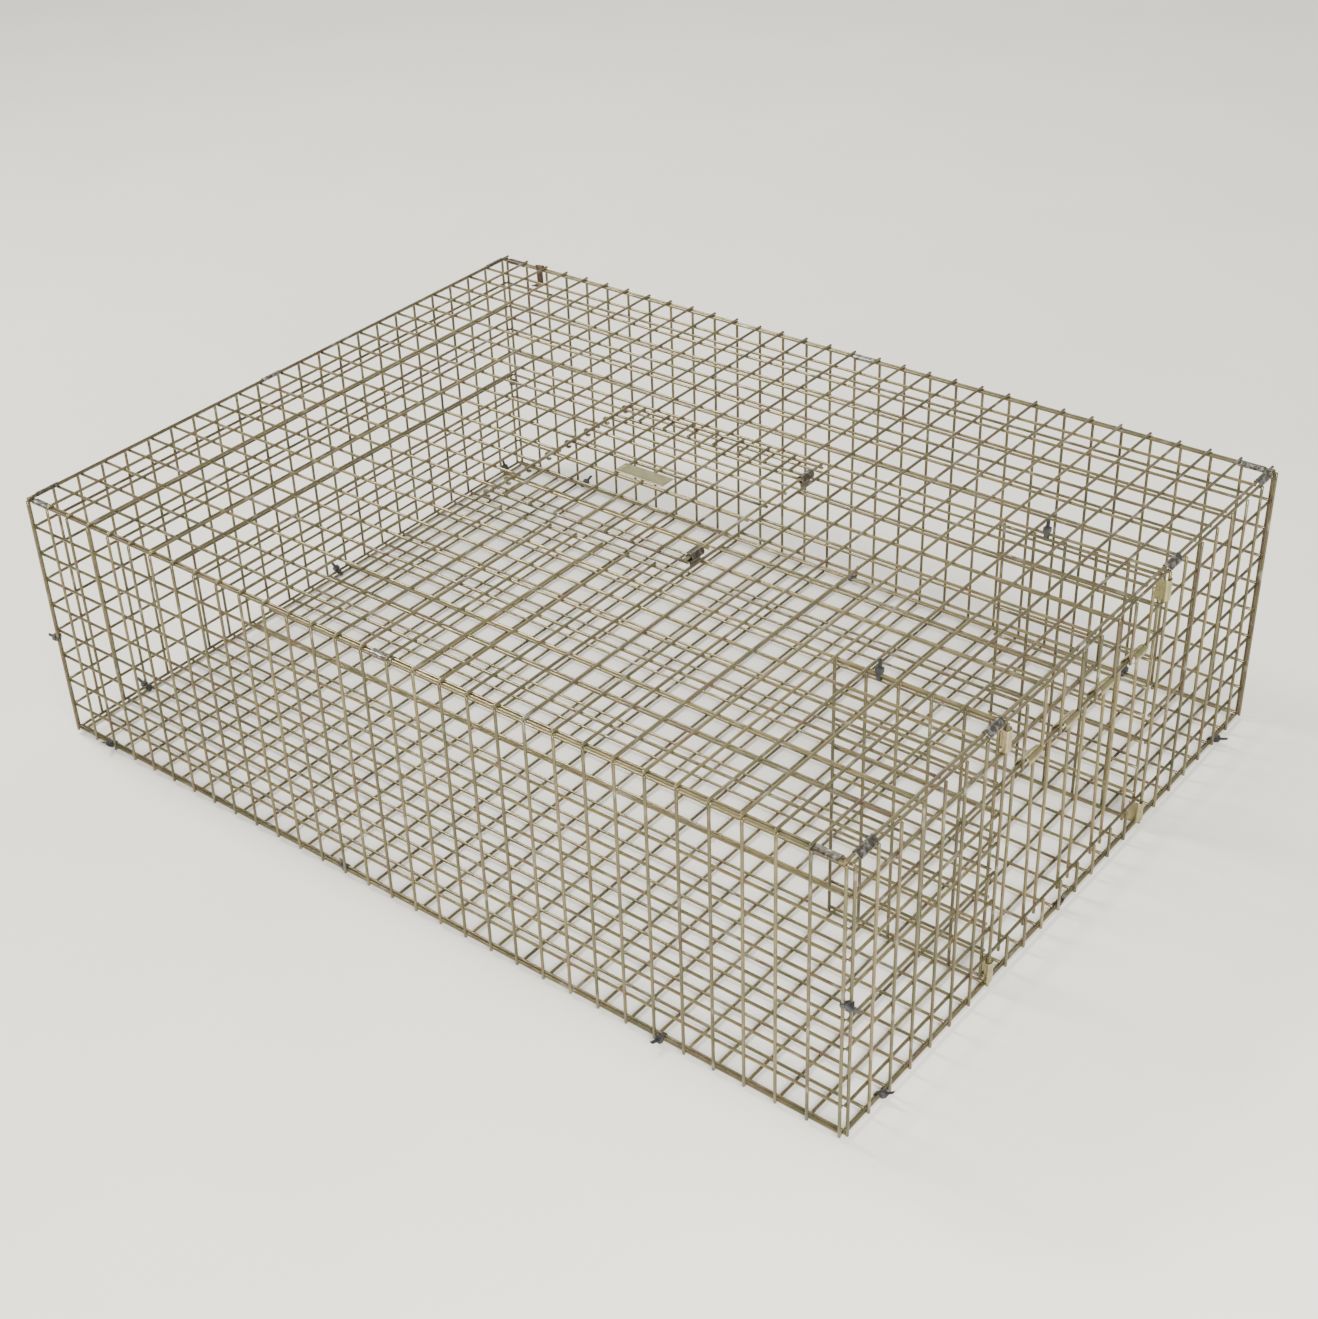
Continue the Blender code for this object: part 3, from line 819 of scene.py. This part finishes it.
def gate_tab(number):
    """The sheet tab that hangs a gate: round the wire over the entrance, then down round the gate's wire."""
    name = f"gate_{number}"
    low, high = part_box(name + "_tab")
    pivot = JOINTS[name + "_swing"]["pos_m"]
    wire_low, wire_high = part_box(name + "_wire")
    hang = (wire_low.x + R - pivot[0], wire_high.z - R - pivot[2])
    round_sill, round_gate = 0.0033, 0.0019
    path = arc((0, 0), round_sill, -50, 140, 16) + arc(hang, round_gate, 140, 285, 10)
    origin = (pivot[0], (low.y + high.y) / 2, pivot[2])
    long = high.y - low.y
    piece = sheet_strip(f"{name}_hanger", path, long, THICK_SHEET, origin, X_DIR, Z_DIR, crimp)
    publish(piece, name, "gold_zinc_sheet", name + "_tab")


def latch(name):
    """A sheet tongue curled round the door's free edge wire, narrower towards its bent tip."""
    node = "latch_" + name
    low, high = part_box(node)
    pivot = JOINTS[f"latch_{name}_turn"]["pos_m"]
    tongue = [(-0.0004, -0.0045), (0.0, -0.0085), (-0.0006, -0.0100)]
    round_edge = 0.0032
    path = arc((0, 0), round_edge, -50, 262, 20) + rounded_path(tongue, 0.001)

    def pinch(t, s):
        return 1.0 - 0.25 * max(0.0, t - 0.7) / 0.3, 0.0

    origin = (pivot[0], (low.y + high.y) / 2, pivot[2])
    long = high.y - low.y
    piece = sheet_strip(f"{node}_tongue", path, long, THICK_SHEET, origin, X_DIR, Z_DIR, pinch)
    wear_down(piece, LATCH_WEAR)
    publish(piece, f"latch_{name}_body", "silver_zinc_sheet", node)


def spare_hook():
    """A rusty strip hung over the roof's edge wire, with its foot curled up inside."""
    low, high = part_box("spare_hook")
    origin = ((low.x + high.x) / 2, 0, 0)
    off = R + 0.0007
    outer, inner = HALF_Y + off, HALF_Y - off
    over = high.z - SKIN
    curl = 0.004
    foot = low.z + curl + SKIN
    corners = [(outer, over - curl), (outer, over), (inner, over), (inner, foot)]
    path = rounded_path(corners, 0.0012) + arc((inner - curl, foot), curl, 0, -140, 8)[1:]

    def ragged(t, s):
        return 0.80 + 0.20 * sin(9 * t + 1.8 * s + 0.6), 0.0005 * sin(17 * t + 2 * s)

    piece = sheet_strip("rusty_hook", path, high.x - low.x, HOOK_SHEET, origin, Y_DIR, Z_DIR, ragged)
    publish(piece, "roof", "rusty_steel", "spare_hook")


def tag_plate():
    """A blank plate with a pressed border just inside its edge."""
    low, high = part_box("tag_plate")
    work = bmesh.new()
    size = high - low
    centre = (low + high) / 2
    border, border_height, face = (0.0008, 0.0020), 0.00025, low.z + 0.0003
    bmesh.ops.create_grid(work, x_segments=48, y_segments=16, size=0.5)
    for vert in work.verts:
        x, y = vert.co.x * size.x, vert.co.y * size.y
        from_edge = min(size.x / 2 - abs(x), size.y / 2 - abs(y))
        rise = border_height if border[0] < from_edge < border[1] else 0.0
        vert.co = Vector((centre.x + x, centre.y + y, face + rise))
    piece = add_object("name_tag", mesh_from(work, "name_tag"))
    solid = piece.modifiers.new("thickness", "SOLIDIFY")
    solid.thickness = 0.0004
    piece.data.shade_smooth()
    publish(piece, "door", "pale_gold_tag", "tag_plate")


def cable_tie(name, node, body, loop, origin, across, up, head_at, tail_angle, tail):
    """A nylon tie: a strap loop, a square head with a lip, and a cut tail with teeth standing out of it.

    loop is the closed middle line of the strap, and head_at the point on it where the head sits.
    """
    across, up = Vector(across), Vector(up)
    side = across.cross(up)
    strap = sheet_strip(name, loop, TIE_WIDTH, TIE_STRAP, origin, across, up, closed=True)
    strap.modifiers.clear()
    work = bmesh.new()
    work.from_mesh(strap.data)
    direction = Vector((cos(radians(tail_angle)), sin(radians(tail_angle))))
    lead = across * direction.x + up * direction.y
    cross = side.cross(lead)
    base = Vector(origin) + across * head_at[0] + up * head_at[1]
    axes = (lead, side, cross)
    block(work, base + lead * HEAD_AT, HEAD, axes)
    block(work, base + lead * LIP_AT, LIP, axes)
    block(work, base + lead * (TAIL_FROM + tail / 2), (tail, TIE_WIDTH, TIE_STRAP), axes)
    for n in range(int(tail / TOOTH_PITCH)):
        place = base + lead * (TEETH_FROM + n * TOOTH_PITCH) + cross * TIE_STRAP * 0.55
        block(work, place, TOOTH, axes)
    bmesh.ops.recalc_face_normals(work, faces=work.faces)
    work.to_mesh(strap.data)
    work.free()
    finish_edges(strap, TIE_BEVEL)
    publish(strap, body, "black_nylon", node)


def stadium(a, b, radius):
    """The closed line round two round wires at a and b."""
    a, b = Vector(a), Vector(b)
    steps = 8
    heading = np.degrees(np.arctan2(b.y - a.y, b.x - a.x))
    first = arc(tuple(b), radius, heading - 90, heading + 90, steps)
    second = arc(tuple(a), radius, heading + 90, heading + 270, steps)
    return first + second


def bottom_ties():
    """Each goes round the floor's edge wire and the wall's bottom wire beside it."""
    sides = (
        ("front", LONG_Y, HALF_Y, 0.0, Vector((0, -1, 0))),
        ("back", LONG_Y, HALF_Y, 0.0, Vector((0, 1, 0))),
        ("left", END_X, HALF_X, -LAYER, Vector((-1, 0, 0))),
        ("entrance", END_X, HALF_X, -LAYER, Vector((1, 0, 0))),
    )
    head_angles = (38, 75, 20)
    for side, wall, edge, drop, out in sides:
        for n in (1, 2, 3):
            node = f"tie_{side}_{n}"
            low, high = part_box(node)
            middle = (low + high) / 2
            along = Vector((middle.x, 0, 0)) if out.x == 0 else Vector((0, middle.y, 0))
            loop = stadium((edge - wall, drop), (0, 0), TIE_HUG)
            origin = along + out * wall + Vector((0, 0, LOW_Z))
            angle = head_angles[(n + len(side)) % 3]
            head = (TIE_HUG * cos(radians(angle)), TIE_HUG * sin(radians(angle)))
            name = f"floor_tie_{side}_{n}"
            cable_tie(name, node, "floor", loop, origin, out, Z_DIR, head, angle, 0.0075)


def corner_ties():
    """Each goes round the end uprights of two walls, which stand at right angles."""
    for node, side, end in (
        ("corner_tie_front_left", -1, -1),
        ("corner_tie_front_right", -1, 1),
        ("corner_tie_back_left", 1, -1),
    ):
        low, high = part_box(node)
        long_bar = Vector((end * WALL_XS[-1], side * (LONG_Y + LAYER)))
        end_bar = Vector((end * (END_X + LAYER), side * WALL_YS[-1]))
        loop = stadium(tuple(long_bar), tuple(end_bar), TIE_HUG)
        origin = (0, 0, (low.z + high.z) / 2)
        normal = Vector((end, side)).normalized()
        head = (long_bar + end_bar) / 2 + normal * TIE_HUG
        angle = np.degrees(np.arctan2(normal.y, normal.x)) - 40 * side * end
        body = "front_wall" if side < 0 else "back_wall"
        cable_tie(node + "_strap", node, body, loop, origin, X_DIR, Y_DIR, tuple(head), angle, 0.006)


def tunnel_ties():
    """Each goes round a tunnel side's top wire and the roof's wire above it, with its head standing up."""
    for name in ("front", "back"):
        node = "tunnel_tie_" + name
        low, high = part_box(node)
        bar_low, bar_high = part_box("tunnel_side_" + name)
        middle = (bar_low.y + bar_high.y) / 2
        wire_z = TOP_Z - TUNNEL_DROP
        roof_wire = (YS[TUNNEL_J[name]] - middle, TUNNEL_DROP)
        loop = stadium((0, 0), roof_wire, TIE_HUG)
        origin = ((low.x + high.x) / 2, middle, wire_z)
        head = (roof_wire[0], roof_wire[1] + TIE_HUG)
        cable_tie(node + "_strap", node, "tunnel_" + name, loop, origin, Y_DIR, Z_DIR, head, 84, 0.0070)


# ---------------------------------------------------------------- camera, light and floor

# The camera stands off from the middle of the mesh box by CAMERA_FROM_MIDDLE, in lengths of that box.
CAMERA_FROM_MIDDLE = Vector((1.1332, -1.3838, 1.1235))
LOOK = Vector((-0.5678, 0.6120, -0.5506))
ROLL = radians(-4.25)
LENS_MM = 55.68
SHIFT_X = 0.0933

# Each light's name, place, target, size, power in watts and colour.
LIGHTS = (
    ("key", (-1.5, -0.3, 2.3), (0, 0, 0.1), (0.6, 0.6), 68, (1.0, 0.98, 0.94)),
    ("rim", (-0.9, 1.7, 1.9), (0, 0, 0.1), (0.9, 0.4), 12, (1.0, 0.97, 0.93)),
    ("side", (1.5, -1.2, 0.9), (0.3, -0.1, 0.1), (0.9, 0.9), 72, (1.0, 0.98, 0.94)),
)
SKY_COLOUR, SKY_STRENGTH = (1.0, 0.985, 0.96, 1), 0.84
FLOOR_SIZE, FLOOR_Z = 30, -0.0004


def add_camera():
    """A camera that matches the photo's view, with a slight roll."""
    length = 2 * (END_X + LAYER)
    middle = Vector((0, 0, (TOP_Z + LAYER) / 2))
    data = bpy.data.cameras.new("camera")
    data.sensor_fit = "HORIZONTAL"
    data.sensor_width = 36
    data.lens = LENS_MM
    data.shift_x = SHIFT_X
    data.clip_start = 0.01
    data.clip_end = 50
    camera = add_object("camera", data)
    camera.location = middle + CAMERA_FROM_MIDDLE * length
    level = LOOK.to_track_quat("-Z", "Y")
    camera.rotation_mode = "QUATERNION"
    camera.rotation_quaternion = level @ Quaternion((0, 0, 1), ROLL)
    bpy.context.scene.camera = camera


def add_light(name, place, target, size, power, colour):
    data = bpy.data.lights.new(name, "AREA")
    data.shape = "RECTANGLE"
    data.size, data.size_y = size
    data.energy = power
    data.color = colour
    lamp = add_object(name, data)
    lamp.location = place
    lamp.rotation_euler = (Vector(target) - Vector(place)).to_track_quat("-Z", "Y").to_euler()


def add_stage():
    """A pale floor, a bright even sky and three soft lights."""
    bpy.ops.mesh.primitive_plane_add(size=FLOOR_SIZE, location=(0, 0, FLOOR_Z))
    floor = bpy.context.object
    floor.name = "studio_floor"
    shader = Shader("pale_floor")
    tint = shader.ramp(
        shader.noise(6, 3, 0.5),
        [(0.3, (0.93, 0.895, 0.82, 1)), (0.7, (0.96, 0.925, 0.855, 1))],
    )
    shader.set(Base_Color=tint, Roughness=0.7)
    floor.data.materials.append(shader.material)
    world = bpy.data.worlds.new("studio")
    world.use_nodes = True
    background = world.node_tree.nodes["Background"]
    background.inputs["Color"].default_value = SKY_COLOUR
    background.inputs["Strength"].default_value = SKY_STRENGTH
    bpy.context.scene.world = world
    for light in LIGHTS:
        add_light(*light)


make_floor()
make_long_wall(-1, "front_wall", "front_panel")
make_long_wall(1, "back_wall", "back_panel")
make_left_wall()
make_entrance_wall()
make_roof()
make_tunnel_side("front", -1)
make_tunnel_side("back", 1)
make_door()
for gate in (1, 2, 3, 4):
    make_gate(gate)
    gate_tab(gate)
for clip in (1, 2, 3):
    cap_clip("front", clip, -1, True)
    cap_clip("back", clip, 1, True)
    cap_clip("left", clip, -1, False)
for clip in (1, 2, 3, 4):
    hinge_clip(clip)
    tunnel_clip(clip)
latch("front")
latch("back")
spare_hook()
tag_plate()
bottom_ties()
corner_ties()
tunnel_ties()
add_stage()
add_camera()
